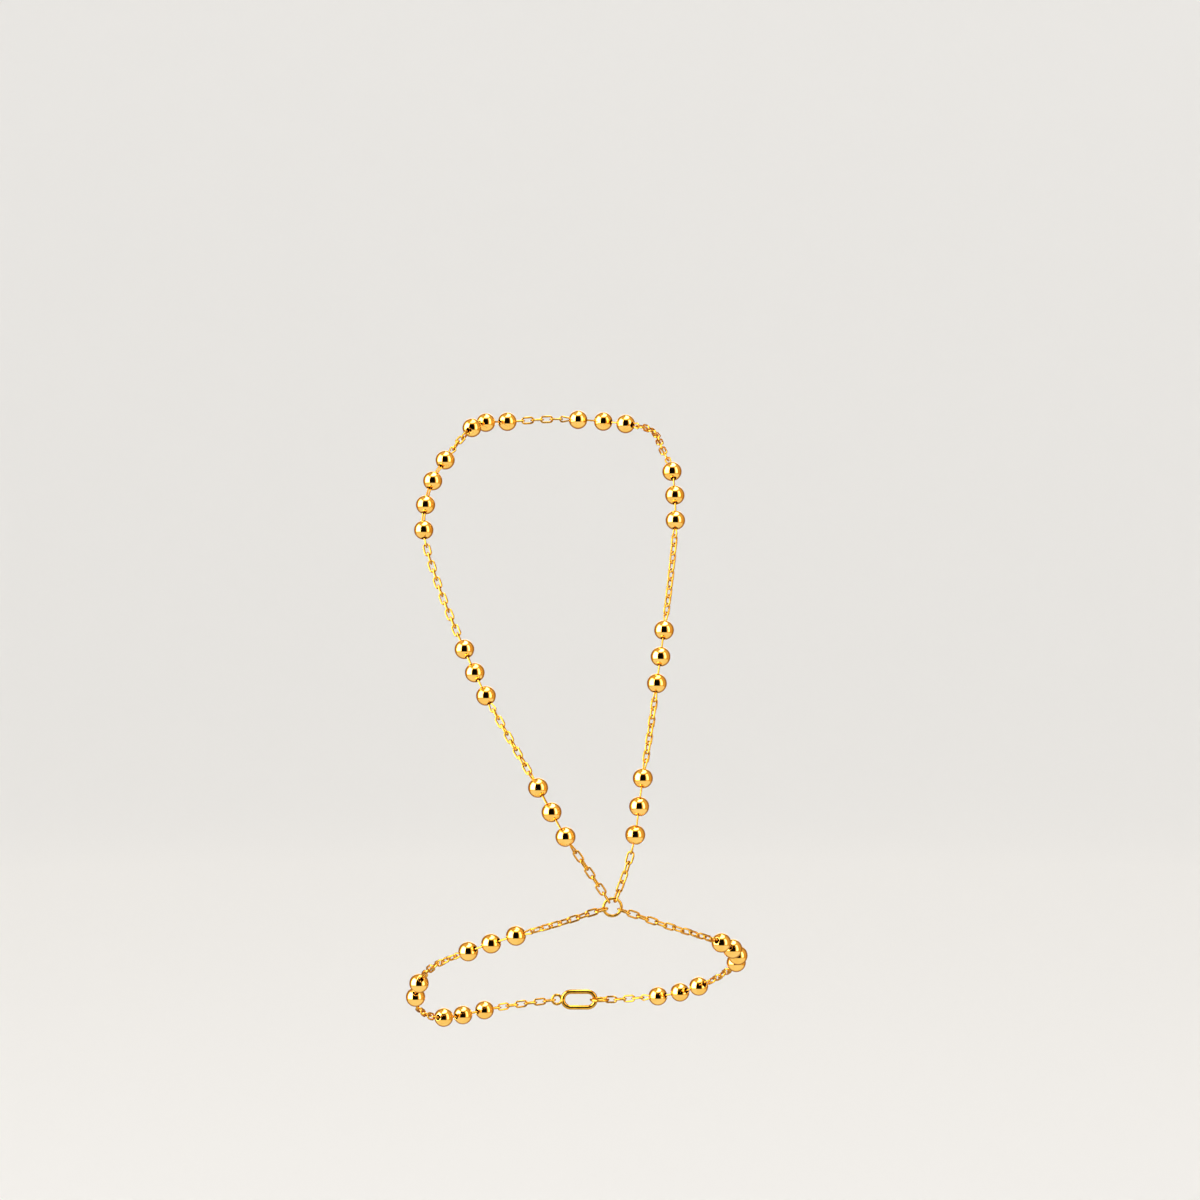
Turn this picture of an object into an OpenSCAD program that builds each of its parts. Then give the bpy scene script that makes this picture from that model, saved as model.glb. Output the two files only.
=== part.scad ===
// Hand chain bracelet: a wrist loop of cable chain with groups of hollow ball beads, and a second
// loop that rises from a jump ring on the back of the wrist, runs up the back of the hand in two
// strands and passes round two fingers. It is shown in the form that it takes when it is worn.
// +Z is up, towards the fingers. The back of the hand faces -Y, and the thumb is on the -X side.
// The origin lies on the middle line of the wrist, at the height of the wrist loop.

/* [Beads] */
// Outer diameter of a ball bead
bead_d = 4; // [3.8:0.1:5]
// Wall of a ball bead
bead_wall = 0.4; // [0.3:0.05:0.5]
// Diameter of the bore at both ends of a bead
bore_d = 1.2; // [1.15:0.05:1.3]
// Bare distance between two beads of a group
bead_gap = 1.7; // [1.5:0.1:2.4]

/* [Chain] */
// Length of a chain link over its wire
link_len = 2.9; // [2.7:0.05:3.4]
// Width of a chain link over its wire
link_w = 1.6; // [1.55:0.05:2]
// Wire diameter of the links
link_wire = 0.36; // [0.3:0.02:0.4]
// Room left between two pieces that hang in each other
play = 0.1; // [0.1:0.01:0.15]

/* [Pins] */
// Wire diameter of the pins that join the beads
pin_wire = 0.34; // [0.3:0.02:0.36]
// Slit between the two wires of a pin between two beads
pin_slit = 0.1; // [0.06:0.02:0.12]
// How far an eye stands out of its bead
eye_len = 2.1; // [1.9:0.1:3]
// Width of an eye over its wire
eye_w = 1.45; // [1.4:0.05:1.6]
// How much wider than the bore the head of a pin is
head_over = 0.1; // [0.06:0.02:0.12]

/* [Rings and clasp] */
// Outer diameter of the jump ring that carries both loops
ring_d = 4.2; // [4:0.1:6]
// Wire diameter of that jump ring
ring_wire = 0.6; // [0.5:0.02:0.62]
// Length of the clasp's body over its wire
clasp_len = 8; // [7:0.5:12]
// Width of the clasp's body over its wire
clasp_w = 4.4; // [4:0.1:6]
// Wire diameter of the clasp's body
clasp_wire = 1; // [0.8:0.05:1.2]
// Outer diameter of the small eye at the clasp's end
clasp_eye_d = 2.6; // [2.5:0.1:3]
// Outer diameter of the jump ring that the clasp holds
catch_d = 4.2; // [4:0.1:6]
// Wire diameter of the clasp's eye and of the ring that it holds
catch_wire = 0.6; // [0.5:0.02:0.62]

/* [Hidden] */
$fn = 32;
gold = [0.9, 0.66, 0.24];

// Chosen points of the routes, in mm.
ring_at = [7, -25, 10.5];
ring_face = [1, -7, -1];
clasp_at = [0, 27, -16.5];
// From the jump ring up the thumb's side, round two fingers and down between the fingers.
hand_route = [
    ring_at,
    [4.5, -25.9, 14.5],
    [1.5, -26.5, 19],
    [-2.5, -26.5, 25],
    [-8, -23.5, 34.5],
    [-13.5, -19.5, 43.5],
    [-18.5, -15, 52],
    [-23, -10, 61],
    [-28.5, -3.5, 73.5],
    [-32, 2, 85.5],
    [-30.5, 6.5, 95],
    [-27, 10.5, 101],
    [-24, 15.5, 105],
    [-21, 23, 107.5],
    [-14, 28.5, 108],
    [-4.5, 30.5, 108.5],
    [5, 28.5, 108],
    [12.5, 23, 107],
    [16, 16.5, 105.5],
    [17.5, 8.5, 102],
    [19.5, 3, 97],
    [20, -2, 87.5],
    [19, -7.5, 76.5],
    [17.5, -13, 65.5],
    [16, -17, 55],
    [14.5, -21.5, 45],
    [13, -24.5, 36],
    [11.5, -26, 25],
    [10, -26, 19],
    [8.5, -25.4, 14.5],
    ring_at,
];
// From the jump ring round the thumb's side of the wrist, as far as the clasp.
near_route = [
    ring_at,
    [3, -25.4, 9.5],
    [-3, -25.5, 7.5],
    [-12.5, -23.5, 4.5],
    [-21.5, -19.5, 1],
    [-29, -13, -3],
    [-32.3, -6, -7],
    [-33.7, -1, -11],
    [-33.5, 4, -14.5],
    [-31, 11, -17.5],
    [-26.5, 17, -18.5],
    [-20.5, 22, -18],
    [-14.5, 25.5, -17.5],
    [-9, 26.8, -17],
];
// From the jump ring round the other side of the wrist, as far as the clasp.
far_route = [
    ring_at,
    [11, -24.1, 9],
    [17.5, -22, 6.5],
    [24, -18, 4],
    [30, -11, 1],
    [33, -2.5, -2.5],
    [32, 6.5, -6.5],
    [27, 14.5, -11],
    [19.5, 21.5, -14.5],
    [9.5, 26, -16.2],
];

// Columns of the tables of bead groups.
SHARE = 0;      // where the middle of the group lies, as a share of the route's length
COUNT = 1;      // beads in the group
PIN_TURN = 2;   // turn of the twin wires between the beads, in degrees
EYE_IN = 3;     // turn of the eye before the group
EYE_OUT = 4;    // turn of the eye after the group
hand_groups = [
    [0.0815, 3, 90, 70, 80],
    [0.202, 3, 120, 25, 130],
    [0.353, 4, 70, 150, 90],
    [0.4515, 3, 90, 90, 90],
    [0.5475, 3, 90, 0, 0],
    [0.6845, 3, 145, 85, 95],
    [0.813, 3, 120, 85, 85],
    [0.925, 3, 110, 80, 115],
];
near_groups = [
    [0.2525, 3, 75, 35, 15],
    [0.533, 2, 15, 75, 75],
    [0.785, 3, 90, 90, 90],
];
far_groups = [
    [0.42, 4, 135, 60, 120],
    [0.781, 3, 90, 120, 0],
];

// Columns of the table of stretches, each of which has its links, its pins and its beads.
NAME = 0;
STRING = 1;         // the string that the stretch is part of
FIRST_GROUP = 2;
LAST_GROUP = 3;
FIRST_RUN = 4;      // run 0 lies before group 0, and run n + 1 lies after group n
LAST_RUN = 5;

// Derived sizes.
hand_lean = 0.2;                                    // the hand leans back from the wrist
bead_pitch = bead_d + bead_gap;
head_d = bore_d + head_over;
head_at = head_d / 2 + play;                        // head of a pin, from its bead's centre
pivot_at = (bead_d - bead_wall) / 2;                // middle of the bore, from the bead's centre
head_in = pivot_at - head_at;
pin_side = (pin_wire + pin_slit) / 2;
eye_r = (eye_w - pin_wire) / 2;
eye_far = bead_wall / 2 + eye_len - pin_wire / 2 - eye_r + head_in;   // eye's centre, from the head
eye_flare = asin(eye_r / eye_far);
eye_sink = 6;                                       // degrees of the eye's bend inside each straight wire
link_r = (link_w - link_wire) / 2;
link_reach = (link_len - link_wire) / 2;            // end wire of a link, from the link's centre
taut_pitch = 2 * link_reach - link_wire - play;
ring_r = (ring_d - ring_wire) / 2;
catch_r = (catch_d - catch_wire) / 2;
clasp_r = (clasp_w - clasp_wire) / 2;
clasp_eye_r = (clasp_eye_d - catch_wire) / 2;
clasp_eye_at = -clasp_len / 2 - clasp_eye_r + (clasp_wire - catch_wire) / 2;
catch_at = clasp_len / 2 - clasp_wire - play - catch_wire / 2 + catch_r;
clasp_way = [1, 0, 0];

// A smooth curve through the chosen points.
CURVE_STEPS = 8;
function blend(a, b, c, d, u) =
    (2 * b + (c - a) * u + (2 * a - 5 * b + 4 * c - d) * u * u + (3 * b - a - 3 * c + d) * u * u * u) / 2;
function curve(p) = let (last = len(p) - 1) concat(
    [for (i = [0 : last - 1], j = [0 : CURVE_STEPS - 1])
        blend(p[max(i - 1, 0)], p[i], p[i + 1], p[min(i + 2, last)], j / CURVE_STEPS)],
    [p[last]]);

// A path is [length, table of x, table of y, table of z], each table by the distance run.
function runs(c) =
    [for (i = 0, s = 0; i < len(c); i = i + 1, s = i < len(c) ? s + norm(c[i] - c[i - 1]) : s) s];
function path(p) = let (c = curve(p), s = runs(c)) concat(
    [s[len(s) - 1]],
    [for (axis = [0 : 2]) [for (i = [0 : len(c) - 1]) [s[i], c[i][axis]]]]);
function at(path, s) = [for (axis = [1 : 3]) lookup(s, path[axis])];
function unit(v) = v / norm(v);
function way(path, s, reach) = unit(at(path, s + reach) - at(path, s - reach));

// Axes of a piece that lies along way: across it, out of its broad side, and along it.
function axes(point, way) = let (
        out = [point.x, point.y - hand_lean * point.z, 0],
        across = unit(cross(out, way)))
    [across, cross(way, across), way];
// The turn at which the broad side faces a chosen way.
function turn_to(point, way, face) = let (a = axes(point, way)) atan2(-a[0] * face, a[1] * face);

// How far from its centre a ring holds the wire of a link.
function hook(r, wire) = r - wire / 2 + link_wire / 2;

// A string is [path, groups, hold at its start, hold at its end], a hold is [hook, turn].
PATH = 0;
GROUPS = 1;
START = 2;
END = 3;
ring_hook = hook(ring_r, ring_wire);
function leave_ring(path) = [ring_hook, turn_to(ring_at, way(path, ring_hook, ring_hook), ring_face)];
function reach_ring(path) = [ring_hook, turn_to(ring_at, way(path, path[0] - ring_hook, ring_hook), ring_face)];
hand_path = path(hand_route);
near_path = path(concat(near_route, [clasp_at + clasp_eye_at * clasp_way]));
far_path = path(concat(far_route, [clasp_at + catch_at * clasp_way]));
hand_string = [hand_path, hand_groups, leave_ring(hand_path), reach_ring(hand_path)];
near_string = [near_path, near_groups, leave_ring(near_path), [hook(clasp_eye_r, catch_wire), 0]];
far_string = [far_path, far_groups, leave_ring(far_path), [hook(catch_r, catch_wire), 90]];

stretches = [
    ["thumb_strand", hand_string, 0, 2, 0, 2],
    ["palm_loop", hand_string, 3, 4, 3, 5],
    ["finger_strand", hand_string, 5, 7, 6, 8],
    ["wrist_near", near_string, 0, 2, 0, 3],
    ["wrist_far", far_string, 0, 1, 0, 2],
];

// Where bead i of a group lies on its path.
function bead_s(path, group, i) = group[SHARE] * path[0] + (i - (group[COUNT] - 1) / 2) * bead_pitch;
function bead_way(path, s) = way(path, s, bead_pitch / 2);

// The end wire of the eye after a bead, side 1, or before it, side -1.
eye_hook = bead_d / 2 + eye_len - pin_wire + link_wire / 2;

// A run of links goes from hook to hook. It is [first link's place less one pitch, pitch, links,
// turn there, turn from link to link].
function run_of(string, k) = let (
        path = string[PATH], groups = string[GROUPS], last = len(groups) - 1,
        before = groups[max(k - 1, 0)], after = groups[min(k, last)],
        from = k == 0 ? string[START][0] : bead_s(path, before, before[COUNT] - 1) + eye_hook,
        to = k > last ? path[0] - string[END][0] : bead_s(path, after, 0) - eye_hook,
        turn_a = k == 0 ? string[START][1] : before[EYE_OUT],
        turn_b = k > last ? string[END][1] : after[EYE_IN],
        span = to - from + 2 * link_reach,
        steps = ceil(span / taut_pitch),
        twist = turn_b - turn_a - 90 * steps,
        rest = twist - 180 * round(twist / 180))
    [from - link_reach, span / steps, steps - 1, turn_a, 90 + rest / steps];

// Every bead of a stretch, as [place on the path, group].
function beads_of(stretch) = let (string = stretch[STRING], groups = string[GROUPS])
    [for (g = [stretch[FIRST_GROUP] : stretch[LAST_GROUP]], i = [0 : groups[g][COUNT] - 1])
        bead_s(string[PATH], groups[g], i)];
function bead_name(stretch, i) = str(stretch[NAME], "_bead_", i + 1);

// Puts a piece at a point, its length along way, its broad side facing out, turned about its length.
module seat(point, way, turn = 0) {
    a = axes(point, way);
    multmatrix([
        [a[0].x, a[1].x, a[2].x, point.x],
        [a[0].y, a[1].y, a[2].y, point.y],
        [a[0].z, a[1].z, a[2].z, point.z],
        [0, 0, 0, 1],
    ]) rotate([0, 0, turn]) children();
}

// A bend of round wire in the XZ plane, centred on +Z.
module bend(r, wire, angle) {
    rotate([90, 0, 0]) rotate([0, 0, 90 - angle / 2])
        rotate_extrude(angle = angle) translate([r, 0]) circle(d = wire);
}

// A closed ring of round wire in the XZ plane.
module wire_ring(r, wire) {
    rotate([90, 0, 0]) rotate_extrude() translate([r, 0]) circle(d = wire);
}

// A long link in the XZ plane: two half rings and two straight wires.
module long_link(length, r, wire) {
    straight = length - wire - 2 * r;
    for (side = [0, 180]) rotate([0, side, 0]) {
        translate([0, 0, straight / 2]) bend(r, wire, 180);
        translate([r, 0, 0]) cylinder(h = straight, d = wire, center = true);
    }
}

// A hollow ball with a bore at each end, its axis along Z.
module bead() {
    difference() {
        sphere(d = bead_d);
        sphere(d = bead_d - 2 * bead_wall);
        cylinder(h = bead_d + 2, d = bore_d, center = true);
    }
}

// An eye pin, seen from the middle of its bead's bore: a head inside, an eye outside at +Z.
// The bend is drawn a trace thinner than the straight wires, and its ends sink into them.
module eye_pin() {
    translate([0, 0, -head_in]) {
        sphere(d = head_d);
        translate([0, 0, eye_far]) bend(eye_r, 0.97 * pin_wire, 180 + 2 * eye_flare + 2 * eye_sink);
        for (side = [-1, 1]) rotate([0, side * eye_flare, 0])
            cylinder(h = eye_far * cos(eye_flare), d = pin_wire);
    }
}

// A twin-wire pin between two bores, its middle at the origin, with a head inside each bead.
module twin_pin(span) {
    heads = span + 2 * head_in;
    for (side = [-1, 1]) {
        translate([0, 0, side * heads / 2]) sphere(d = head_d);
        translate([side * pin_side, 0, 0]) cylinder(h = heads, d = pin_wire, center = true);
    }
}

module bead_on(stretch, i) {
    path = stretch[STRING][PATH];
    s = beads_of(stretch)[i];
    color(gold) seat(at(path, s), bead_way(path, s)) bead();
}

// The pin between the bead at s and the next one.
module pin_after(path, s, turn) {
    from = at(path, s) + pivot_at * bead_way(path, s);
    to = at(path, s + bead_pitch) - pivot_at * bead_way(path, s + bead_pitch);
    seat((from + to) / 2, unit(to - from), turn) twin_pin(norm(to - from));
}

// The eye after the bead at s, side 1, or before it, side -1.
module eye_at(path, s, side, turn) {
    pivot = at(path, s) + side * pivot_at * bead_way(path, s);
    tip = at(path, s + side * eye_hook);
    seat(pivot, side * unit(tip - pivot), turn) rotate([0, side > 0 ? 0 : 180, 0]) eye_pin();
}

module pins(stretch) {
    path = stretch[STRING][PATH];
    color(gold) for (g = [stretch[FIRST_GROUP] : stretch[LAST_GROUP]]) {
        group = stretch[STRING][GROUPS][g];
        last = group[COUNT] - 1;
        eye_at(path, bead_s(path, group, 0), -1, group[EYE_IN]);
        eye_at(path, bead_s(path, group, last), 1, group[EYE_OUT]);
        for (i = [0 : last - 1]) pin_after(path, bead_s(path, group, i), group[PIN_TURN]);
    }
}

module links(stretch) {
    path = stretch[STRING][PATH];
    color(gold) for (k = [stretch[FIRST_RUN] : stretch[LAST_RUN]]) {
        run = run_of(stretch[STRING], k);
        for (i = [1 : run[2]])
            seat(at(path, run[0] + i * run[1]), way(path, run[0] + i * run[1], link_reach), run[3] + i * run[4])
                long_link(link_len, link_r, link_wire);
    }
}

module jump_ring() {
    way = unit(cross(ring_face, [1, 0, 0]));
    color(gold) seat(ring_at, way, turn_to(ring_at, way, ring_face)) wire_ring(ring_r, ring_wire);
}

// A closed loop for the ring that it holds, and a small eye for the chain's last link.
module clasp() {
    color(gold) seat(clasp_at, clasp_way) {
        long_link(clasp_len, clasp_r, clasp_wire);
        translate([0, 0, clasp_eye_at]) wire_ring(clasp_eye_r, catch_wire);
    }
}

module catch_ring() {
    color(gold) seat(clasp_at + catch_at * clasp_way, clasp_way, 90) wire_ring(catch_r, catch_wire);
}

jump_ring();
clasp();
catch_ring();
for (s = stretches) {
    links(s);
    pins(s);
    for (i = [0 : len(beads_of(s)) - 1])
        bead_on(s, i);
}
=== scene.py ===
"""Dresses the hand chain bracelet in polished gold and sets it in a pale studio.

The chains follow the same routes as the part's solids. Their sizes and places are in millimetres, and
each mesh is scaled to metres when it is stored. A piece is made once in its own axes, its length along
Z, and is then placed many times along a route. The studio is sized in metres.
"""

from __future__ import annotations

import logging
import math
from dataclasses import dataclass, field
from enum import Enum

import bpy
import numpy as np
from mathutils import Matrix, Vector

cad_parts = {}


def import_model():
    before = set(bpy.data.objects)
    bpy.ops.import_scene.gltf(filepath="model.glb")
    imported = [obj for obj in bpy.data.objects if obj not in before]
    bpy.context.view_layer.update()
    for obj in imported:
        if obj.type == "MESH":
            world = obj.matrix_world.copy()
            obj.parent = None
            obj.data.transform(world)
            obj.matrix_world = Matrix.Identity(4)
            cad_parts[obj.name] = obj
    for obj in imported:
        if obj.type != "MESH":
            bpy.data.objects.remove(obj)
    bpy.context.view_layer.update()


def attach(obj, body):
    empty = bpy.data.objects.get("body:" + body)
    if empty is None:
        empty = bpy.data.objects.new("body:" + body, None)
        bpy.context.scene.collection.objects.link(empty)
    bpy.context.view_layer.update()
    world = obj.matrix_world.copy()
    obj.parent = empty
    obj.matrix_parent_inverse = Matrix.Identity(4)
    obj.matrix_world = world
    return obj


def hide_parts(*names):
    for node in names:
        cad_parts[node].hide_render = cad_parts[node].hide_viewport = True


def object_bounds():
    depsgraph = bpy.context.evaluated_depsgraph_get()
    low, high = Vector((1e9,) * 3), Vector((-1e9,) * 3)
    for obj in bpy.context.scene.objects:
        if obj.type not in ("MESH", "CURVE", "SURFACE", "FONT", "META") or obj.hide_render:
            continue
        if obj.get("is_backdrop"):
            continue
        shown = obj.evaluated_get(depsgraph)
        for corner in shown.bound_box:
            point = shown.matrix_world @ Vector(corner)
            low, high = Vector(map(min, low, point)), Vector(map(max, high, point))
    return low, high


Colour = tuple[float, float, float, float]
Place = tuple[float, float, float]
Span = tuple[float, float]
Socket = bpy.types.NodeSocket

MM = 0.001
NEGLIGIBLE = 1e-6               # millimetres
POLE = 0.04                     # radians from a small ball's pole to its first ring
SMOOTH_ANGLE = 40.0             # the sharpest bend, in degrees, that is shaded as smooth
QUARTER = 90                    # degrees
X, Y, Z = np.eye(3)
log = logging.getLogger("bracelet")


@dataclass
class Surface:
    """One closed surface or several: points in millimetres, four-sided faces and round end faces."""

    points: np.ndarray
    quads: np.ndarray
    caps: np.ndarray

    def moved(self, shift: np.ndarray) -> Surface:
        """The surface at another place."""
        return Surface(self.points + shift, self.quads, self.caps)

    def placed(self, origins: np.ndarray, frames: np.ndarray) -> Surface:
        """Copies the surface to many places at once.

        Args:
            origins: (n, 3) places.
            frames: (n, 3, 3) axes, each of whose columns is a direction.

        Returns:
            All the copies as one surface: point p becomes origin + frame @ p.
        """
        count, size = len(origins), len(self.points)
        points = np.einsum("nij,pj->npi", frames, self.points) + origins[:, None, :]
        shift = (np.arange(count) * size)[:, None, None]
        return Surface(
            points.reshape(-1, 3),
            (self.quads[None] + shift).reshape(-1, 4),
            (self.caps[None] + shift).reshape(-1, self.caps.shape[1]) if self.caps.size else self.caps,
        )


def grid(points: np.ndarray, rows: int, columns: int, closed: bool) -> Surface:
    """Joins rows of points, each of which is a closed ring, into a surface.

    Args:
        points: (rows * columns, 3) points, ring after ring.
        rows: How many rings there are.
        columns: How many points each ring has.
        closed: Whether the last ring joins the first. If not, both end rings get a flat face.

    Returns:
        The surface, its faces outwards where the rings turn anticlockwise about the way they follow.
    """
    row = np.arange(rows if closed else rows - 1)[:, None]
    column = np.arange(columns)[None, :]
    after = (row + 1) % rows
    beside = (column + 1) % columns
    corners = (
        row * columns + column,
        row * columns + beside,
        after * columns + beside,
        after * columns + column,
    )
    quads = np.stack(corners, axis=-1).reshape(-1, 4)
    ring = np.arange(columns)
    caps = np.empty((0, columns), int) if closed else np.stack([ring[::-1], ring + (rows - 1) * columns])
    return Surface(points, quads, caps)


def tube(centres: np.ndarray, normals: np.ndarray, radius: float, sides: int, closed: bool) -> Surface:
    """Carries a circle along a path that lies in the XZ plane.

    Point (i, j) is centre_i + radius * (cos a_j * normal_i + sin a_j * Y).

    Args:
        centres: (n, 3) points of the path.
        normals: (n, 3) directions in the plane, square to the path and on its outer side.
        radius: Radius of the wire.
        sides: Points round the wire.
        closed: Whether the path is a loop.

    Returns:
        The wire's surface.
    """
    angle = np.arange(sides) / sides * math.tau
    circle = np.cos(angle)[None, :, None] * normals[:, None, :] + np.sin(angle)[None, :, None] * Y
    points = centres[:, None, :] + radius * circle
    return grid(points.reshape(-1, 3), len(centres), sides, closed)


def lathe(radii: np.ndarray, heights: np.ndarray, sides: int, closed: bool) -> Surface:
    """Turns a profile about Z: point (i, j) is (radius_i cos a_j, radius_i sin a_j, height_i).

    Args:
        radii: Distances from the axis, outer side upwards.
        heights: Heights of the same points.
        sides: Points round the axis.
        closed: Whether the profile is a loop, as a ring's or a hollow ball's is.

    Returns:
        The turned surface.
    """
    angle = np.arange(sides) / sides * math.tau
    columns = (
        radii[:, None] * np.cos(angle),
        radii[:, None] * np.sin(angle),
        heights[:, None] + 0 * angle,
    )
    return grid(np.stack(columns, axis=-1).reshape(-1, 3), len(radii), sides, closed)


def oval(length: float, radius: float, wire: float, bend_points: int, sides: int) -> Surface:
    """A loop of round wire in the XZ plane, with two half rings and two straight wires.

    At angle a the wire's centre is (radius cos a, 0, radius sin a + rise), where the rise is half the
    straight wire's length on the upper half ring, and minus that on the lower one.

    Args:
        length: Length over the wire, along Z.
        radius: Radius of its two ends, at the middle of the wire.
        wire: Diameter of the wire.
        bend_points: Points along each half ring.
        sides: Points round the wire.

    Returns:
        The wire's surface.
    """
    straight = length - wire - 2 * radius
    upper = np.linspace(0, math.pi, bend_points)
    lower = np.linspace(math.pi, math.tau, bend_points)
    angle = np.concatenate([upper, lower])
    if straight < NEGLIGIBLE:
        angle = np.linspace(0, math.tau, 2 * bend_points, endpoint=False)
    rise = np.full(2 * bend_points, -straight / 2)
    rise[:bend_points] = straight / 2
    normals = np.stack([np.cos(angle), 0 * angle, np.sin(angle)], axis=-1)
    return tube(radius * normals + rise[:, None] * Z, normals, wire / 2, sides, closed=True)


def ball(radius: float, rings: int = 9, sides: int = 14) -> Surface:
    """A small solid ball whose poles are closed by tiny faces."""
    turn = np.linspace(POLE, math.pi - POLE, rings)
    return lathe(radius * np.sin(turn), -radius * np.cos(turn), sides, closed=False)


def unit(vectors: np.ndarray) -> np.ndarray:
    """Each row at length one."""
    return vectors / np.linalg.norm(vectors, axis=-1, keepdims=True)


def row_of(place: Place) -> np.ndarray:
    """One place as an array of a single row."""
    return np.array([place], float)


def store(name: str, surfaces: list[Surface]) -> bpy.types.Object:
    """Puts surfaces into one smooth-shaded Blender object, in metres.

    Args:
        name: Name of the object.
        surfaces: What it is made of.

    Returns:
        The object, linked to the scene.
    """
    points, faces, start = [], [], 0
    for surface in surfaces:
        points.append(surface.points)
        faces += (surface.quads + start).tolist() + (surface.caps + start).tolist()
        start += len(surface.points)
    mesh = bpy.data.meshes.new(name)
    mesh.from_pydata((np.concatenate(points) * MM).tolist(), [], faces)
    mesh.shade_smooth()
    mesh.set_sharp_from_angle(angle=math.radians(SMOOTH_ANGLE))
    mesh.validate()
    thing = bpy.data.objects.new(name, mesh)
    bpy.context.scene.collection.objects.link(thing)
    return thing


class Nodes:
    """Shorthand for wiring a node tree."""

    MIX_COLOURS = (6, 7)        # the two colour inputs of a Mix node
    MIX_RESULT = 2              # its colour output

    def __init__(self, tree: bpy.types.NodeTree) -> None:
        """Keeps the tree and empties it."""
        self.tree = tree
        tree.nodes.clear()

    def add(self, kind: str, inputs: dict | None = None, **settings: object) -> bpy.types.Node:
        """Adds a node.

        Args:
            kind: Blender's type name of the node.
            inputs: Socket names or numbers, each with a value or with the socket that feeds it.
            settings: Attributes of the node itself.

        Returns:
            The new node.
        """
        node = self.tree.nodes.new(kind)
        for key, value in settings.items():
            setattr(node, key, value)
        for key, value in (inputs or {}).items():
            if isinstance(value, Socket):
                self.tree.links.new(value, node.inputs[key])
            else:
                node.inputs[key].default_value = value
        return node

    def math(self, operation: str, *values: Socket | float) -> Socket:
        """The result of a Math node on numbers or sockets."""
        return self.add("ShaderNodeMath", dict(enumerate(values)), operation=operation).outputs[0]

    def band(self, value: Socket, low: float, high: float) -> Socket:
        """Rises smoothly from 0 at low to 1 at high, or falls if low is the greater."""
        node = self.add(
            "ShaderNodeMapRange",
            {"Value": value, "From Min": min(low, high), "From Max": max(low, high),
             "To Min": float(low > high), "To Max": float(low < high)},
            interpolation_type="SMOOTHSTEP",
        )
        return node.outputs["Result"]

    def mix(self, factor: Socket, first: Socket | Colour, second: Socket | Colour) -> Socket:
        """A blend of two colours."""
        inputs = {"Factor": factor, **dict(zip(self.MIX_COLOURS, (first, second)))}
        return self.add("ShaderNodeMix", inputs, data_type="RGBA").outputs[self.MIX_RESULT]


@dataclass(frozen=True)
class GoldFinish:
    """Polished gold plate: even where it was tumbled, a little redder and duller in patches."""

    name: str
    bright: Colour
    deep: Colour                                # in the patches
    roughness: Span                             # beside the polishing marks, and in them
    patch_size: float                           # millimetres across
    grain_size: float                           # millimetres across
    grain: float = 0.002                        # height of the polishing marks, in millimetres
    bump: float = 0.35                          # strength of the polishing marks
    painted_bore_shade: Colour = (0.03, 0.015, 0.006, 1.0)     # nearly black: painted shade over the bare metal in a bead's bore
    patch_band: Span = (0.35, 0.7)              # of the noise, over which bright turns into deep
    grain_band: Span = (0.3, 0.7)               # of the noise, over which the roughness rises

    @staticmethod
    def noise(nodes: Nodes, place: Socket, size: float, detail: float, roughness: float) -> Socket:
        """Noise whose marks are size millimetres across."""
        inputs = {"Vector": place, "Scale": 1 / (size * MM), "Detail": detail, "Roughness": roughness}
        return nodes.add("ShaderNodeTexNoise", inputs).outputs[0]

    def material(self) -> bpy.types.Material:
        """Builds the finish from noise on Object coordinates."""
        material = bpy.data.materials.new(self.name)
        material.use_nodes = True
        nodes = Nodes(material.node_tree)
        place = nodes.add("ShaderNodeTexCoord").outputs["Object"]
        patches = self.noise(nodes, place, self.patch_size, detail=3.0, roughness=0.55)
        marks = self.noise(nodes, place, self.grain_size, detail=2.0, roughness=0.5)
        colour = nodes.mix(nodes.band(patches, *self.patch_band), self.bright, self.deep)
        # painted shade: deep in a bead's bore, where the attribute inside rises to 1, the colour turns
        # nearly black
        inside = nodes.add("ShaderNodeAttribute", attribute_name="inside").outputs["Fac"]
        colour = nodes.mix(inside, colour, self.painted_bore_shade)
        from_least, from_most = self.grain_band
        least, most = self.roughness
        wear = nodes.add(
            "ShaderNodeMapRange",
            {"Value": marks, "From Min": from_least, "From Max": from_most,
             "To Min": least, "To Max": most},
        ).outputs["Result"]
        bump = nodes.add(
            "ShaderNodeBump", {"Strength": self.bump, "Distance": self.grain * MM, "Height": marks},
        ).outputs["Normal"]
        shader = nodes.add(
            "ShaderNodeBsdfPrincipled",
            {"Base Color": colour, "Roughness": wear, "Normal": bump, "Metallic": 1.0},
        )
        nodes.add("ShaderNodeOutputMaterial", {"Surface": shader.outputs[0]})
        return material


class Finish(Enum):
    """The finishes of the bracelet."""

    BALL = GoldFinish(
        name="polished_gold_ball", bright=(1.0, 0.62, 0.16, 1.0), deep=(0.96, 0.54, 0.10, 1.0),
        roughness=(0.04, 0.08), patch_size=2.6, grain_size=0.5)
    WIRE = GoldFinish(
        name="drawn_gold_wire", bright=(0.72, 0.40, 0.055, 1.0), deep=(0.52, 0.27, 0.03, 1.0),
        roughness=(0.08, 0.14), patch_size=1.3, grain_size=0.25)


@dataclass(frozen=True)
class Hold:
    """Where a ring takes the first or last link of a string."""

    hook: float                 # how far from its centre the ring holds a link's wire
    turn: float                 # the ring's turn about the string, in degrees


@dataclass(frozen=True)
class BeadGroup:
    """A few beads close together, with an eye before and after them. Turns are in degrees."""

    share: float                # where its middle lies, as a share of the route
    count: int
    pin_turn: float
    eye_in: float
    eye_out: float


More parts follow.
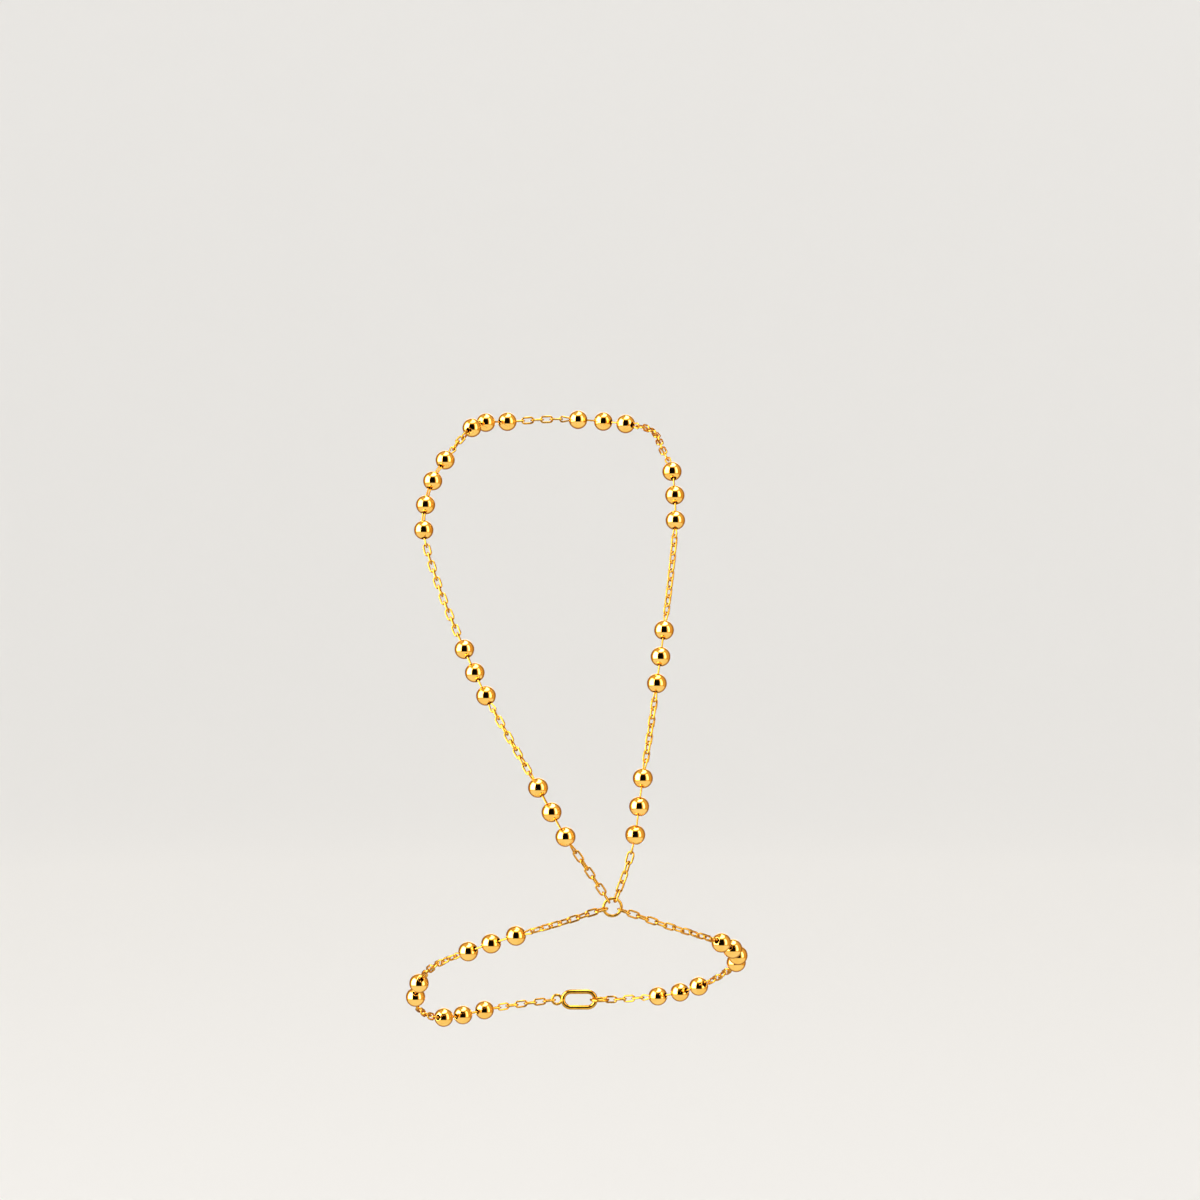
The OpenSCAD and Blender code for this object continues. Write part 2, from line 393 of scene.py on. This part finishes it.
class Route:
    """A smooth curve through chosen points, measured by the distance run along it."""

    LEAN = 0.2                  # how far the worn form leans back for each millimetre of height
    STEPS = 8                   # straight bits between two chosen points

    def __init__(self, points: list[Place]) -> None:
        """Works out the curve.

        Between points b and c it is (2b + (c - a)u + (2a - 5b + 4c - d)u^2 + (3b - a - 3c + d)u^3) / 2,
        with a before b and d after c.

        Args:
            points: The chosen points.
        """
        given = np.array(points, float)
        padded = np.pad(given, ((1, 1), (0, 0)), "edge")
        a, b, c, d = (padded[k:k + len(given) - 1, None, :] for k in range(4))
        u = (np.arange(self.STEPS) / self.STEPS)[None, :, None]
        slope = (c - a) * u
        bow = (2 * a - 5 * b + 4 * c - d) * u**2
        sway = (3 * b - a - 3 * c + d) * u**3
        bends = (2 * b + slope + bow + sway) / 2
        self.curve = np.concatenate([bends.reshape(-1, 3), given[-1:]])
        steps = np.linalg.norm(np.diff(self.curve, axis=0), axis=1)
        self.run = np.concatenate([[0.0], np.cumsum(steps)])
        self.length = float(self.run[-1])

    def at(self, run: np.ndarray) -> np.ndarray:
        """The points at these distances."""
        return np.stack([np.interp(run, self.run, self.curve[:, k]) for k in range(3)], axis=-1)

    def way(self, run: np.ndarray, reach: float) -> np.ndarray:
        """The direction from reach before these distances to reach after them."""
        return unit(self.at(run + reach) - self.at(run - reach))

    @classmethod
    def axes(cls, points: np.ndarray, ways: np.ndarray) -> tuple[np.ndarray, np.ndarray]:
        """The directions across a piece and out of its broad side, away from the worn form's middle.

        Args:
            points: (n, 3) places of the pieces.
            ways: (n, 3) directions of their length.

        Returns:
            Two (n, 3) arrays.
        """
        x, y, z = points.T
        away = np.stack([x, y - cls.LEAN * z, 0 * x], axis=-1)
        across = unit(np.cross(away, ways))
        return across, np.cross(ways, across)

    @classmethod
    def frames(cls, points: np.ndarray, ways: np.ndarray, turns: np.ndarray | float) -> np.ndarray:
        """Axes of pieces that lie along ways and are turned about them, in degrees."""
        across, out = cls.axes(points, ways)
        turn = np.radians(np.broadcast_to(turns, len(points)))[:, None]
        first = np.cos(turn) * across + np.sin(turn) * out
        second = np.cos(turn) * out - np.sin(turn) * across
        return np.stack([first, second, ways], axis=-1)

    @classmethod
    def turn_to(cls, point: np.ndarray, way: np.ndarray, face: np.ndarray) -> float:
        """The turn, in degrees, at which a piece's broad side faces a chosen way."""
        across, out = cls.axes(point[None], way[None])
        return math.degrees(math.atan2(-across[0] @ face, out[0] @ face))


@dataclass
class Link:
    """A closed oval link of round wire."""

    length: float = 2.9
    width: float = 1.6
    wire: float = 0.36
    play: float = 0.1
    fuller: float = 0.06        # how much thicker the plated wire is than its solid
    bend_points: int = 10
    sides: int = 10

    @property
    def reach(self) -> float:
        """From the link's centre to the middle of its end wire."""
        return (self.length - self.wire) / 2

    @property
    def taut_pitch(self) -> float:
        """The widest step from link to link."""
        return 2 * self.reach - self.wire - self.play

    def surface(self) -> Surface:
        """Two half rings joined by straight wires, with no solder seam."""
        radius = (self.width - self.wire) / 2
        length, wire = self.length + self.fuller, self.wire + self.fuller
        return oval(length, radius, wire, self.bend_points, self.sides)


@dataclass
class Bead:
    """A hollow drilled ball whose bores have a rolled edge."""

    diameter: float = 4.0
    wall: float = 0.4
    bore: float = 1.2
    lip: float = 0.07           # radius of the rolled edge
    gap: float = 1.7            # between two beads of a group
    plated: float = 0.05        # how deep the plate reaches into a bore, where the painted shade begins
    fade: float = 0.1           # below that, how far the plate thins out as the painted shade deepens
    skin_rings: int = 22
    lip_rings: int = 7
    core_rings: int = 9
    sides: int = 56

    @property
    def pitch(self) -> float:
        """From bead to bead in a group."""
        return self.diameter + self.gap

    @property
    def pivot(self) -> float:
        """From the bead's centre to the middle of its bore's wall."""
        return (self.diameter - self.wall) / 2

    def surface(self) -> Surface:
        """Turns one closed profile: outer ball, rolled edge, bore, inner ball, and the same below."""
        outer, inner, bore = self.diameter / 2, self.diameter / 2 - self.wall, self.bore / 2
        lip_r = bore + self.lip
        lip_z = math.sqrt((outer - self.lip) ** 2 - lip_r**2)
        lip_start = math.atan2(lip_z, lip_r)
        skin = np.linspace(0, lip_start, self.skin_rings)
        roll = np.linspace(lip_start, math.pi, self.lip_rings)[1:]
        core = np.linspace(math.acos(bore / inner), 0, self.core_rings)
        radii = np.concatenate(
            [outer * np.cos(skin), lip_r + self.lip * np.cos(roll), inner * np.cos(core)])
        heights = np.concatenate(
            [outer * np.sin(skin), lip_z + self.lip * np.sin(roll), inner * np.sin(core)])
        back_down = slice(-2, 0, -1)
        radii = np.concatenate([radii, radii[back_down]])
        heights = np.concatenate([heights, -heights[back_down]])
        return lathe(radii, heights, self.sides, closed=True)

    def inside(self, surface: Surface) -> np.ndarray:
        """How much painted shade each point gets over the bare metal: 0 as deep as the plate reaches, and 1
        where it has thinned out.
        """
        depth = self.diameter / 2 - np.linalg.norm(surface.points, axis=1)
        return np.clip((depth - self.plated) / self.fade, 0, 1)


@dataclass
class Pins:
    """Headed pins: an eye pin at each end of a group, and a twin-wire pin between two beads."""

    wire: float = 0.34
    slit: float = 0.1           # between the two wires of a twin-wire pin
    fuller: float = 0.03        # how much thicker the plated wire is than its solid
    eye_len: float = 2.1        # from the bead's outer side to the end of the eye
    eye_width: float = 1.45
    head_over: float = 0.1      # how much wider the head is than the bore
    leg_share: float = 0.88     # how far the eye's legs run back to the head's centre
    eye_points: int = 15
    wire_sides: int = 10
    bead: Bead = field(default_factory=Bead)
    link: Link = field(default_factory=Link)

    @property
    def drawn_radius(self) -> float:
        """Radius of the plated wire."""
        return (self.wire + self.fuller) / 2

    @property
    def head(self) -> float:
        """Diameter of the head inside the bead."""
        return self.bead.bore + self.head_over

    @property
    def head_in(self) -> float:
        """From the middle of the bore's wall to the head's centre."""
        return self.bead.pivot - self.head / 2 - self.link.play

    @property
    def hook(self) -> float:
        """From the bead's centre to where the eye holds a link's wire."""
        return self.bead.diameter / 2 + self.eye_len - self.wire + self.link.wire / 2

    def eye(self) -> list[Surface]:
        """An eye pin with the middle of the bore at its origin and its eye at +Z.

        One wire leaves the head, flares out, goes round the eye's circle and comes back.
        """
        radius = (self.eye_width - self.wire) / 2
        far = self.bead.wall / 2 + self.eye_len - self.wire / 2 - radius + self.head_in
        flare = math.asin(radius / far)
        angle = np.linspace(-flare, math.pi + flare, self.eye_points)
        normals = np.stack([np.cos(angle), 0 * angle, np.sin(angle)], axis=-1)
        loop = radius * normals + far * Z
        legs = far * math.cos(flare) * self.leg_share
        first = loop[0] - legs * np.array([math.sin(flare), 0, math.cos(flare)])
        last = loop[-1] - legs * np.array([-math.sin(flare), 0, math.cos(flare)])
        centres = np.concatenate([first[None], loop, last[None]])
        normals = np.concatenate([normals[:1], normals, normals[-1:]])
        wire = tube(centres, normals, self.drawn_radius, self.wire_sides, closed=False)
        return [part.moved(-self.head_in * Z) for part in (wire, ball(self.head / 2))]

    def twin(self, span: float) -> list[Surface]:
        """A pin of two straight wires between two bores that are span apart, with a head at each end."""
        half = span / 2 + self.head_in
        side = (self.wire + self.slit) / 2
        rod = lathe(np.full(2, self.drawn_radius), np.array([-half, half]), self.wire_sides, closed=False)
        head = ball(self.head / 2)
        return [
            *(rod.moved(step * side * X) for step in (-1, 1)),
            *(head.moved(end * half * Z) for end in (-1, 1)),
        ]


@dataclass
class Rings:
    """The jump ring in front, and the closure at the back."""

    outside: float = 4.2
    wire: float = 0.6
    at: Place = (7, -25, 10.5)
    face: Place = (1, -7, -1)           # the way that the jump ring faces
    clasp_at: Place = (0, 27, -16.5)
    clasp_length: float = 8.0
    clasp_width: float = 4.4
    clasp_wire: float = 1.0
    eye_outside: float = 2.6
    link: Link = field(default_factory=Link)

    @property
    def radius(self) -> float:
        """Of the jump ring and of the ring in the clasp, at the middle of the wire."""
        return (self.outside - self.wire) / 2

    @property
    def eye_radius(self) -> float:
        """Of the clasp's small eye, at the middle of the wire."""
        return (self.eye_outside - self.wire) / 2

    @property
    def eye_place(self) -> float:
        """Of the clasp's eye, along its length from its centre."""
        return -self.clasp_length / 2 - self.eye_radius + (self.clasp_wire - self.wire) / 2

    @property
    def catch_place(self) -> float:
        """Of the ring that the clasp holds, along the clasp from its centre."""
        return self.clasp_length / 2 - self.clasp_wire - self.link.play - self.wire / 2 + self.radius

    def along_clasp(self, run: float) -> Place:
        """A point on the clasp's middle line."""
        x, y, z = self.clasp_at
        return (x + run, y, z)

    def hook(self, radius: float) -> float:
        """How far from its centre a ring holds the wire of a link."""
        return radius - self.wire / 2 + self.link.wire / 2

    def hold(self, route: Route, run: float) -> Hold:
        """How the jump ring holds the string that passes run on this route."""
        hook = self.hook(self.radius)
        way = route.way(np.array([run]), hook)[0]
        return Hold(hook, Route.turn_to(row_of(self.at)[0], way, row_of(self.face)[0]))

    def build(self) -> dict[str, bpy.types.Object]:
        """Makes the three pieces, by the name of the node that each stands for."""
        face = unit(row_of(self.face))[0]
        way = unit(np.cross(face, X))
        jump_frame = np.stack([np.cross(face, way), face, way], axis=-1)[None]
        ring = oval(self.outside, self.radius, self.wire, bend_points=28, sides=18)
        middle = row_of(self.clasp_at)
        flat = Route.frames(middle, X[None], 0)
        upright = Route.frames(middle, X[None], QUARTER)
        body_radius = (self.clasp_width - self.clasp_wire) / 2
        body = oval(self.clasp_length, body_radius, self.clasp_wire, bend_points=20, sides=20)
        eye = oval(self.eye_outside, self.eye_radius, self.wire, bend_points=16, sides=16)
        clasp = [body.placed(middle, flat), eye.placed(row_of(self.along_clasp(self.eye_place)), flat)]
        catch = ring.placed(row_of(self.along_clasp(self.catch_place)), upright)
        return {
            "jump_ring": store("round_jump_ring", [ring.placed(row_of(self.at), jump_frame)]),
            "clasp": store("plain_clasp_loop", clasp),
            "catch_ring": store("clasp_catch_ring", [catch]),
        }


@dataclass
class Strand:
    """A string of chain runs and bead groups between two rings."""

    route: Route
    groups: list[BeadGroup]
    start: Hold
    end: Hold
    bead: Bead = field(default_factory=Bead)
    link: Link = field(default_factory=Link)
    pins: Pins = field(default_factory=Pins)

    def bead_runs(self, group: BeadGroup) -> np.ndarray:
        """Where the beads of a group lie on the route."""
        order = np.arange(group.count) - (group.count - 1) / 2
        return group.share * self.route.length + order * self.bead.pitch

    def link_run(self, number: int) -> tuple[np.ndarray, np.ndarray]:
        """The links between group number - 1 and group number.

        The run is cut into the fewest equal steps that the links can reach. The turn rises by a quarter
        circle a link, and by an even share of what is left to meet the next eye.

        Args:
            number: 0 before the first group, and the count of groups after the last.

        Returns:
            Their places on the route, and their turns in degrees.
        """
        begin, turn_in = self.start.hook, self.start.turn
        stop, turn_out = self.route.length - self.end.hook, self.end.turn
        if number > 0:
            before = self.groups[number - 1]
            begin, turn_in = self.bead_runs(before)[-1] + self.pins.hook, before.eye_out
        if number < len(self.groups):
            after = self.groups[number]
            stop, turn_out = self.bead_runs(after)[0] - self.pins.hook, after.eye_in
        span = stop - begin + 2 * self.link.reach
        steps = math.ceil(span / self.link.taut_pitch)
        half_circle = 2 * QUARTER
        twist = turn_out - turn_in - QUARTER * steps
        rest = twist - half_circle * round(twist / half_circle)
        count = np.arange(1, steps)
        return begin - self.link.reach + count * span / steps, turn_in + count * (QUARTER + rest / steps)


@dataclass
class Stretch:
    """A part of a strand that has its own links, pins and beads."""

    name: str
    strand: Strand
    groups: range
    runs: range

    def links(self) -> bpy.types.Object:
        """All its links, placed along the route."""
        strand = self.strand
        laid = [strand.link_run(k) for k in self.runs]
        runs = np.concatenate([run for run, _ in laid])
        turns = np.concatenate([turn for _, turn in laid])
        points = strand.route.at(runs)
        frames = Route.frames(points, strand.route.way(runs, strand.link.reach), turns)
        return store(f"{self.name}_cable_chain", [strand.link.surface().placed(points, frames)])

    def pins(self) -> bpy.types.Object:
        """Its eye pins and twin pins, each seated in the bores of its beads."""
        strand, pivot = self.strand, self.strand.bead.pivot
        half_turn = np.array([-1, 1, -1])
        parts: list[Surface] = []
        for group in (strand.groups[k] for k in self.groups):
            runs = strand.bead_runs(group)
            centres = strand.route.at(runs)
            ways = strand.route.way(runs, strand.bead.pitch / 2)
            for end, side, turn in ((0, -1, group.eye_in), (-1, 1, group.eye_out)):
                seat = centres[end] + side * pivot * ways[end]
                tip = strand.route.at(runs[end] + side * strand.pins.hook)
                frame = Route.frames(seat[None], side * unit(tip - seat)[None], turn)
                if side < 0:
                    frame = frame * half_turn
                parts += [part.placed(seat[None], frame) for part in strand.pins.eye()]
            low = centres[:-1] + pivot * ways[:-1]
            high = centres[1:] - pivot * ways[1:]
            middles = (low + high) / 2
            frames = Route.frames(middles, unit(high - low), group.pin_turn)
            for middle, frame, span in zip(middles, frames, np.linalg.norm(high - low, axis=1)):
                parts += [part.placed(middle[None], frame[None]) for part in strand.pins.twin(span)]
        return store(f"{self.name}_pin_wires", parts)

    def beads(self) -> list[bpy.types.Object]:
        """Its beads, each a piece of its own, with the painted shade over the bare metal of its bores as an
        attribute.
        """
        strand = self.strand
        runs = np.concatenate([strand.bead_runs(strand.groups[k]) for k in self.groups])
        centres = strand.route.at(runs)
        frames = Route.frames(centres, strand.route.way(runs, strand.bead.pitch / 2), 0)
        surface = strand.bead.surface()
        inside = strand.bead.inside(surface)
        pieces = []
        for k, (centre, frame) in enumerate(zip(centres, frames)):
            piece = store(f"{self.name}_ball_{k + 1}", [surface.placed(centre[None], frame[None])])
            piece.data.attributes.new("inside", "FLOAT", "POINT").data.foreach_set("value", inside)
            pieces.append(piece)
        return pieces


class Bracelet:
    """The whole hand chain: one long loop, and a loop of two sides that meet at the clasp."""

    LOOP = [
        (4.5, -25.9, 14.5), (1.5, -26.5, 19), (-2.5, -26.5, 25), (-8, -23.5, 34.5), (-13.5, -19.5, 43.5),
        (-18.5, -15, 52), (-23, -10, 61), (-28.5, -3.5, 73.5), (-32, 2, 85.5), (-30.5, 6.5, 95),
        (-27, 10.5, 101), (-24, 15.5, 105), (-21, 23, 107.5), (-14, 28.5, 108), (-4.5, 30.5, 108.5),
        (5, 28.5, 108), (12.5, 23, 107), (16, 16.5, 105.5), (17.5, 8.5, 102), (19.5, 3, 97), (20, -2, 87.5),
        (19, -7.5, 76.5), (17.5, -13, 65.5), (16, -17, 55), (14.5, -21.5, 45), (13, -24.5, 36),
        (11.5, -26, 25), (10, -26, 19), (8.5, -25.4, 14.5),
    ]
    NEAR = [
        (3, -25.4, 9.5), (-3, -25.5, 7.5), (-12.5, -23.5, 4.5), (-21.5, -19.5, 1), (-29, -13, -3),
        (-32.3, -6, -7), (-33.7, -1, -11), (-33.5, 4, -14.5), (-31, 11, -17.5), (-26.5, 17, -18.5),
        (-20.5, 22, -18), (-14.5, 25.5, -17.5), (-9, 26.8, -17),
    ]
    FAR = [
        (11, -24.1, 9), (17.5, -22, 6.5), (24, -18, 4), (30, -11, 1), (33, -2.5, -2.5), (32, 6.5, -6.5),
        (27, 14.5, -11), (19.5, 21.5, -14.5), (9.5, 26, -16.2),
    ]
    LOOP_GROUPS = [
        BeadGroup(0.0815, 3, 90, 70, 80),
        BeadGroup(0.202, 3, 120, 25, 130),
        BeadGroup(0.353, 4, 70, 150, 90),
        BeadGroup(0.4515, 3, 90, 90, 90),
        BeadGroup(0.5475, 3, 90, 0, 0),
        BeadGroup(0.6845, 3, 145, 85, 95),
        BeadGroup(0.813, 3, 120, 85, 85),
        BeadGroup(0.925, 3, 110, 80, 115),
    ]
    NEAR_GROUPS = [
        BeadGroup(0.2525, 3, 75, 35, 15),
        BeadGroup(0.533, 2, 15, 75, 75),
        BeadGroup(0.785, 3, 90, 90, 90),
    ]
    FAR_GROUPS = [
        BeadGroup(0.42, 4, 135, 60, 120),
        BeadGroup(0.781, 3, 90, 120, 0),
    ]

    def __init__(self) -> None:
        """Lays the three strands and cuts them into stretches."""
        self.rings = Rings()
        rings = self.rings
        hook = rings.hook(rings.radius)
        loop_route = Route([rings.at, *self.LOOP, rings.at])
        near_route = Route([rings.at, *self.NEAR, rings.along_clasp(rings.eye_place)])
        far_route = Route([rings.at, *self.FAR, rings.along_clasp(rings.catch_place)])
        loop = Strand(
            loop_route, self.LOOP_GROUPS,
            start=rings.hold(loop_route, hook), end=rings.hold(loop_route, loop_route.length - hook))
        near = Strand(
            near_route, self.NEAR_GROUPS,
            start=rings.hold(near_route, hook), end=Hold(rings.hook(rings.eye_radius), 0))
        far = Strand(
            far_route, self.FAR_GROUPS,
            start=rings.hold(far_route, hook), end=Hold(hook, QUARTER))
        self.stretches = [
            Stretch("thumb_strand", loop, groups=range(0, 3), runs=range(0, 3)),
            Stretch("palm_loop", loop, groups=range(3, 5), runs=range(3, 6)),
            Stretch("finger_strand", loop, groups=range(5, 8), runs=range(6, 9)),
            Stretch("wrist_near", near, groups=range(0, 3), runs=range(0, 4)),
            Stretch("wrist_far", far, groups=range(0, 2), runs=range(0, 3)),
        ]

    def build(self) -> None:
        """Makes every piece in place of its node."""
        ball_gold, wire_gold = Finish.BALL.value.material(), Finish.WIRE.value.material()
        for node, piece in self.rings.build().items():
            self.dress(piece, node, wire_gold)
        for stretch in self.stretches:
            self.dress(stretch.links(), f"{stretch.name}_links", wire_gold)
            self.dress(stretch.pins(), f"{stretch.name}_pins", wire_gold)
            for k, piece in enumerate(stretch.beads()):
                self.dress(piece, f"{stretch.name}_bead_{k + 1}", ball_gold)

    @staticmethod
    def dress(piece: bpy.types.Object, node: str, finish: bpy.types.Material) -> None:
        """Gives a piece its finish and puts it in place of its node.

        Args:
            piece: The new object.
            node: The node that it stands for.
            finish: Its material.
        """
        piece.data.materials.append(finish)
        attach(piece, "root")
        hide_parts(node)
        log.info("%s stands for %s with %d faces", piece.name, node, len(piece.data.polygons))


@dataclass(frozen=True)
class Patch:
    """A part of the room, in degrees as seen from the bracelet."""

    name: str
    azimuth: Span               # to the right of the camera
    elevation: Span
    soft: float                 # width of its edge

    def inside(self, nodes: Nodes, value: Socket, span: Span) -> Socket:
        """1 where a value lies in a span and 0 outside it, with soft edges."""
        low, high = span
        above = nodes.band(value, low - self.soft / 2, low + self.soft / 2)
        below = nodes.band(value, high + self.soft / 2, high - self.soft / 2)
        return nodes.math("MULTIPLY", above, below)

    def share(self, nodes: Nodes, azimuth: Socket, elevation: Socket) -> Socket:
        """1 where a direction lies in the patch and 0 outside it."""
        middle = sum(self.azimuth) / 2
        turn = nodes.math("WRAP", azimuth, middle + 2 * QUARTER, middle - 2 * QUARTER)
        wide = self.inside(nodes, turn, self.azimuth)
        return nodes.math("MULTIPLY", wide, self.inside(nodes, elevation, self.elevation))


@dataclass(frozen=True)
class SoftBox(Patch):
    """A soft bright patch, and the lamp in it that lights the cove."""

    glow: float                 # brightness in the gold
    power: float                # watts of its lamp, and 0 for one that only the gold mirrors

    DISTANCE = 1.1              # of the lamp, in metres
    AIM_HEIGHT = 0.05           # of the place that it looks at, in metres
    WIDEST = 0.8                # metres
    COLOUR = (1.0, 0.98, 0.95)

    def lamp(self) -> None:
        """Adds the lamp, half as wide and high as the patch. The gold doesn't mirror it."""
        turn, lift = (math.radians(sum(span) / 2) for span in (self.azimuth, self.elevation))
        wide, high = (
            2 * self.DISTANCE * math.tan(math.radians(span[1] - span[0]) / 4)
            for span in (self.azimuth, self.elevation))
        data = bpy.data.lights.new(self.name, "AREA")
        data.shape = "RECTANGLE"
        data.size, data.size_y = min(wide, self.WIDEST), high
        data.energy = self.power
        data.color = self.COLOUR
        lamp = bpy.data.objects.new(self.name, data)
        lamp.location = (
            self.DISTANCE * math.cos(lift) * math.sin(turn),
            -self.DISTANCE * math.cos(lift) * math.cos(turn),
            self.AIM_HEIGHT + self.DISTANCE * math.sin(lift),
        )
        lamp.rotation_euler = (math.pi / 2 - lift, 0, turn)
        lamp.visible_glossy = False
        bpy.context.scene.collection.objects.link(lamp)


@dataclass(frozen=True)
class Room:
    """What the gold mirrors: warm walls, soft boxes, a pale table and the dark place of the camera.

    It is painted by direction. A height is the Z of a direction of length one, and a depth is its Y.
    """

    boxes: tuple[SoftBox, ...] = (
        SoftBox("window_left", (-98, -38), (-16, 48), soft=12, glow=8.0, power=6),
        SoftBox("overhead_softbox", (-40, 181), (61, 92), soft=10, glow=7.0, power=4),
        SoftBox("softbox_right", (46, 70), (-16, 44), soft=10, glow=4.0, power=1),
        SoftBox("window_behind", (160, 200), (4, 34), soft=10, glow=1.8, power=0),
    )
    low: Colour = (0.75, 0.48, 0.18, 1.0)
    high: Colour = (0.85, 0.62, 0.32, 1.0)
    rise: Span = (0.0, 0.9)                     # heights over which low turns into high
    behind: Colour = (0.32, 0.165, 0.05, 1.0)
    retreat: Span = (0.20, 0.80)                # depths over which it turns into behind
    table: Colour = (1.0, 1.0, 1.0, 1.0)
    table_edge: Span = (-0.36, -0.46)           # heights over which the table begins
    table_end: Span = (0.75, 0.15)              # depths over which it ends
    camera_place: Patch = Patch("camera_place", (-33, 33), (-24, 46), soft=4)
    dark: Colour = (0.004, 0.004, 0.004, 1.0)
    dimming: float = 9.0                        # more than a soft box's glow, which it puts out

    def build(self) -> None:
        """Makes the world. It doesn't light the cove, and isn't sampled as a lamp."""
        world = bpy.data.worlds.new("studio_room")
        bpy.context.scene.world = world
        world.use_nodes = True
        nodes = Nodes(world.node_tree)
        way = nodes.add("ShaderNodeTexCoord").outputs["Generated"]
        x, y, z = nodes.add("ShaderNodeSeparateXYZ", {0: way}).outputs
        toward = nodes.math("MULTIPLY", y, -1.0)
        azimuth = nodes.math("DEGREES", nodes.math("ARCTAN2", x, toward))
        elevation = nodes.math("DEGREES", nodes.math("ARCSINE", z))
        colour = nodes.mix(nodes.band(z, *self.rise), self.low, self.high)
        colour = nodes.mix(nodes.band(y, *self.retreat), colour, self.behind)
        on_table = nodes.math("MULTIPLY", nodes.band(z, *self.table_edge), nodes.band(y, *self.table_end))
        colour = nodes.mix(on_table, colour, self.table)
        strength: Socket | float = 1.0
        for box in self.boxes:
            share = box.share(nodes, azimuth, elevation)
            colour = nodes.mix(share, colour, (*box.COLOUR, 1.0))
            strength = nodes.math("ADD", strength, nodes.math("MULTIPLY", share, box.glow - 1))
        dark = self.camera_place.share(nodes, azimuth, elevation)
        colour = nodes.mix(dark, colour, self.dark)
        dimmed = nodes.math("SUBTRACT", strength, nodes.math("MULTIPLY", dark, self.dimming))
        strength = nodes.math("MAXIMUM", dimmed, 1.0)
        glow = nodes.add("ShaderNodeBackground", {"Color": colour, "Strength": strength})
        nodes.add("ShaderNodeOutputWorld", {"Surface": glow.outputs[0]})
        world.cycles_visibility.diffuse = False
        world.cycles.sampling_method = "NONE"


@dataclass(frozen=True)
class CovePaint:
    """Matt pale paint with a faint glow of its own, which evens out the cove."""

    name: str = "pale_cove"
    colour: Colour = (0.50, 0.495, 0.485, 1.0)
    roughness: float = 0.9
    glow_colour: Colour = (1.0, 0.99, 0.97, 1.0)
    glow: float = 0.39

    def material(self) -> bpy.types.Material:
        """Builds the paint."""
        material = bpy.data.materials.new(self.name)
        material.use_nodes = True
        nodes = Nodes(material.node_tree)
        shader = nodes.add(
            "ShaderNodeBsdfPrincipled",
            {"Base Color": self.colour, "Roughness": self.roughness,
             "Emission Color": self.glow_colour, "Emission Strength": self.glow},
        )
        nodes.add("ShaderNodeOutputMaterial", {"Surface": shader.outputs[0]})
        return material


@dataclass
class Studio:
    """A pale round cove, the room that the gold mirrors, soft lamps and the camera, in metres."""

    room: Room = field(default_factory=Room)
    paint: CovePaint = field(default_factory=CovePaint)
    floor: float = -0.115
    radius: float = 1.6
    bend: float = 0.5
    height: float = 2.4
    hub: float = 0.02                           # radius of the round face in the middle of the floor
    bend_rings: int = 24
    sides: int = 96
    camera_at: Place = (0.0045, -0.70167, 0.10154)
    camera_pitch: float = 87.5                  # degrees
    camera_near: float = 0.01
    lens: float = 102.0                         # millimetres, as the sensor is
    sensor: float = 36.0

    def cove(self) -> None:
        """Floor and wall in one turned surface: flat, then a quarter circle, then straight up."""
        turn = np.linspace(0, math.pi / 2, self.bend_rings)
        arc = self.radius - self.bend + self.bend * np.sin(turn)
        radii = np.concatenate([[self.hub], arc, [self.radius]])
        heights = self.floor + np.concatenate([[0], self.bend * (1 - np.cos(turn)), [self.height]])
        shell = lathe(radii / MM, heights / MM, self.sides, closed=False)
        shell.caps = shell.caps[:1]             # the top stays open
        cove = store("studio_cove", [shell])
        cove.data.flip_normals()
        cove.data.materials.append(self.paint.material())
        cove.visible_glossy = False
        cove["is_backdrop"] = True

    def camera(self) -> None:
        """Adds the camera at the photograph's height and distance."""
        data = bpy.data.cameras.new("camera")
        data.lens, data.sensor_width, data.sensor_fit = self.lens, self.sensor, "HORIZONTAL"
        data.clip_start = self.camera_near
        camera = bpy.data.objects.new("camera", data)
        camera.location = self.camera_at
        camera.rotation_euler = (math.radians(self.camera_pitch), 0, 0)
        bpy.context.scene.collection.objects.link(camera)
        bpy.context.scene.camera = camera

    def build(self) -> None:
        """Sets the whole stage."""
        self.cove()
        self.room.build()
        for box in self.room.boxes:
            if box.power:
                box.lamp()
        self.camera()
        view = bpy.context.scene.view_settings
        view.view_transform = "Standard"
        view.look = "None"


def corners() -> list[list[float]]:
    """The shown object's box, as plain numbers."""
    return [[float(v) for v in corner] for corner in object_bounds()]


def main() -> None:
    """Loads the frame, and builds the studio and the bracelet."""
    logging.basicConfig(level=logging.INFO, format="%(name)s: %(message)s")
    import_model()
    Studio().build()
    Bracelet().build()


if __name__ == "__main__":
    main()
